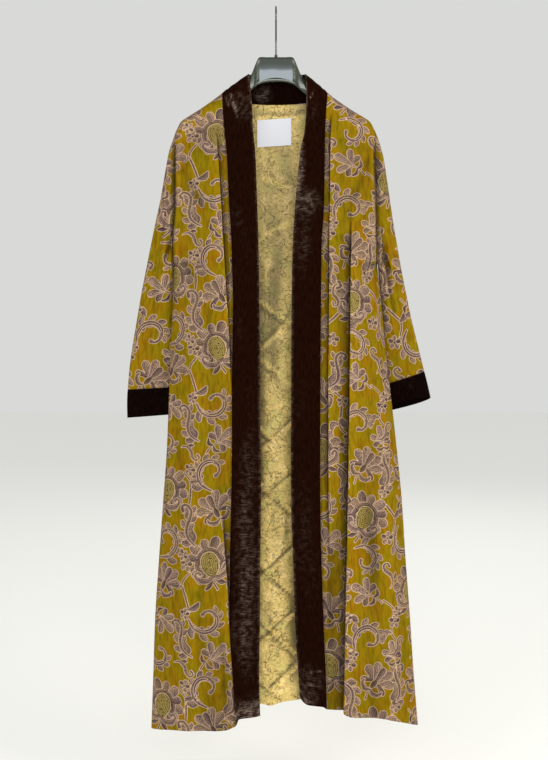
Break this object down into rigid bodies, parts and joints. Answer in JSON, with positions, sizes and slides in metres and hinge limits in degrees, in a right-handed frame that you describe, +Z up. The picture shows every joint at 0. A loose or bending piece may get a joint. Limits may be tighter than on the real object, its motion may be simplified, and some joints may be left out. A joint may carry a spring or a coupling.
{
  "type": "long kimono jacket on a hanger",
  "caption": "Long open-front kimono jacket in printed velvet with plush front bands and cuffs, hanging flat on a wide-shoulder hanger with a wire hook.",
  "frame": {"origin": "inside of the hanger hook's crook, where it bears on a rail", "axes": "+Z up, the front of the jacket faces -Y, +X is on the right of the front view"},
  "size_m": [0.6075, 0.1129, 1.4376],
  "materials": {
    "printed_velvet": "printed viscose velvet, olive gold with mauve and cream scrolls",
    "plush_band": "dark brown plush velvet with crushed pile",
    "satin_label": "white satin label, bare",
    "smoked_plastic": "moulded smoke green clear plastic",
    "frosted_panel": "frosted pale panel, bare",
    "plated_steel": "nickel plated steel wire"
  },
  "bodies": {
    "root": {"front_left": "printed_velvet", "band_left": "plush_band", "front_right": "printed_velvet", "band_right": "plush_band", "back": "printed_velvet", "band_neck": "plush_band", "label": "satin_label", "sleeve_left": "printed_velvet", "cuff_left": "plush_band", "sleeve_right": "printed_velvet", "cuff_right": "plush_band", "hanger_body": "smoked_plastic", "hanger_panel": "frosted_panel", "hanger_hook": "plated_steel", "hanger_ball": "plated_steel"}
  },
  "joints": []
}
